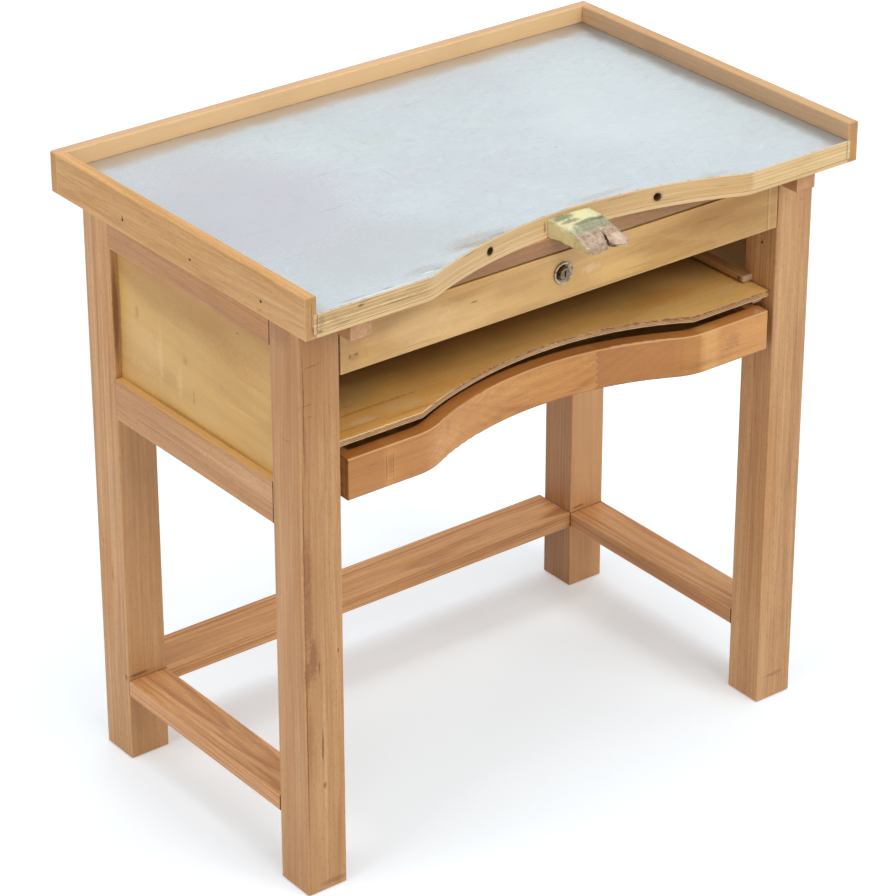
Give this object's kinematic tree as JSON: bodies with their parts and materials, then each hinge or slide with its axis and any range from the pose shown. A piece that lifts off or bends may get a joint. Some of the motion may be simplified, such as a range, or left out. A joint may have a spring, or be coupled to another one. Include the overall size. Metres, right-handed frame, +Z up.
{
  "type": "jewelers bench",
  "caption": "Wooden jewelers bench with a belly-curved zinc-covered top in a rim, notched bench pin, lockable drawer, sliding tray and curved lower drawer.",
  "frame": {"origin": "on the floor, in the middle of the overall width and depth", "axes": "+X to the bench's right seen from its user's place, +Y to its back, +Z up"},
  "size_m": [0.95, 0.617, 0.945],
  "materials": {
    "leg_wood": "oiled",
    "rail_wood": "oiled",
    "front_rail_wood": "oiled",
    "stretcher_wood": "oiled",
    "panel_ply": "varnished",
    "top_ply": "varnished",
    "underlay_board": "bare",
    "zinc": "worn satin",
    "rim_wood": "varnished",
    "strip_wood": "bare",
    "drawer_front_wood": "varnished",
    "drawer_box_wood": "bare",
    "drawer_bottom_ply": "bare",
    "curved_front_wood": "varnished",
    "tray_ply": "worn",
    "pin_wood": "worn bare",
    "lock_metal": "polished",
    "lock_case": "satin",
    "screw_steel": "satin"
  },
  "bodies": {
    "bench": {"back_lower_rail": "rail_wood", "back_panel": "panel_ply", "back_stretcher": "stretcher_wood", "back_top_rail": "rail_wood", "bench_top": "top_ply", "drawer_kicker_left": "strip_wood", "drawer_kicker_right": "strip_wood", "front_rail": "front_rail_wood", "leg_back_left": "leg_wood", "leg_back_right": "leg_wood", "leg_front_left": "leg_wood", "leg_front_right": "leg_wood", "lower_runner_left": "strip_wood", "lower_runner_right": "strip_wood", "lower_side_rail_left": "rail_wood", "lower_side_rail_right": "rail_wood", "overhang_block_left": "front_rail_wood", "overhang_block_right": "front_rail_wood", "rim_back": "rim_wood", "rim_left": "rim_wood", "rim_nails": "screw_steel", "rim_right": "rim_wood", "runner_screws": "screw_steel", "side_panel_left": "panel_ply", "side_panel_right": "panel_ply", "side_stretcher_left": "stretcher_wood", "side_stretcher_right": "stretcher_wood", "top_screws": "screw_steel", "top_side_rail_left": "rail_wood", "top_side_rail_right": "rail_wood", "top_underlay": "underlay_board", "tray_kicker_left": "strip_wood", "tray_kicker_right": "strip_wood", "tray_runner_left": "strip_wood", "tray_runner_right": "strip_wood", "upper_runner_left": "strip_wood", "upper_runner_right": "strip_wood", "zinc_sheet": "zinc"},
    "upper_drawer": {"upper_drawer_front": "drawer_front_wood", "upper_drawer_side_left": "drawer_box_wood", "upper_drawer_side_right": "drawer_box_wood", "upper_drawer_back": "drawer_box_wood", "upper_drawer_bottom": "drawer_bottom_ply", "lock_ring": "lock_metal", "lock_body": "lock_case", "lock_screws": "screw_steel"},
    "lock": {"lock_plug": "lock_metal", "lock_cam": "lock_case", "cam_screw": "lock_case"},
    "tray": {"tray_board": "tray_ply"},
    "lower_drawer": {"lower_drawer_front": "curved_front_wood", "lower_drawer_side_left": "drawer_box_wood", "lower_drawer_side_right": "drawer_box_wood", "lower_drawer_back": "drawer_box_wood", "lower_drawer_bottom": "drawer_bottom_ply"},
    "pin": {"bench_pin": "pin_wood"}
  },
  "joints": [
    {"name": "upper_drawer_slide", "type": "slide", "parent": "bench", "child": "upper_drawer", "axis": [0, -1, 0], "range_m": [0, 0.32]},
    {"name": "lock_turn", "type": "hinge", "parent": "upper_drawer", "child": "lock", "pos_m": [-0.01, -0.2355, 0.828], "axis": [0, -1, 0], "range_deg": [0, 90]},
    {"name": "tray_slide", "type": "slide", "parent": "bench", "child": "tray", "axis": [0, -1, 0], "range_m": [0, 0.3]},
    {"name": "lower_drawer_slide", "type": "slide", "parent": "bench", "child": "lower_drawer", "axis": [0, -1, 0], "range_m": [0, 0.3]},
    {"name": "pin_slide", "type": "slide", "parent": "bench", "child": "pin", "axis": [0, -1, 0], "range_m": [0, 0.06]}
  ]
}
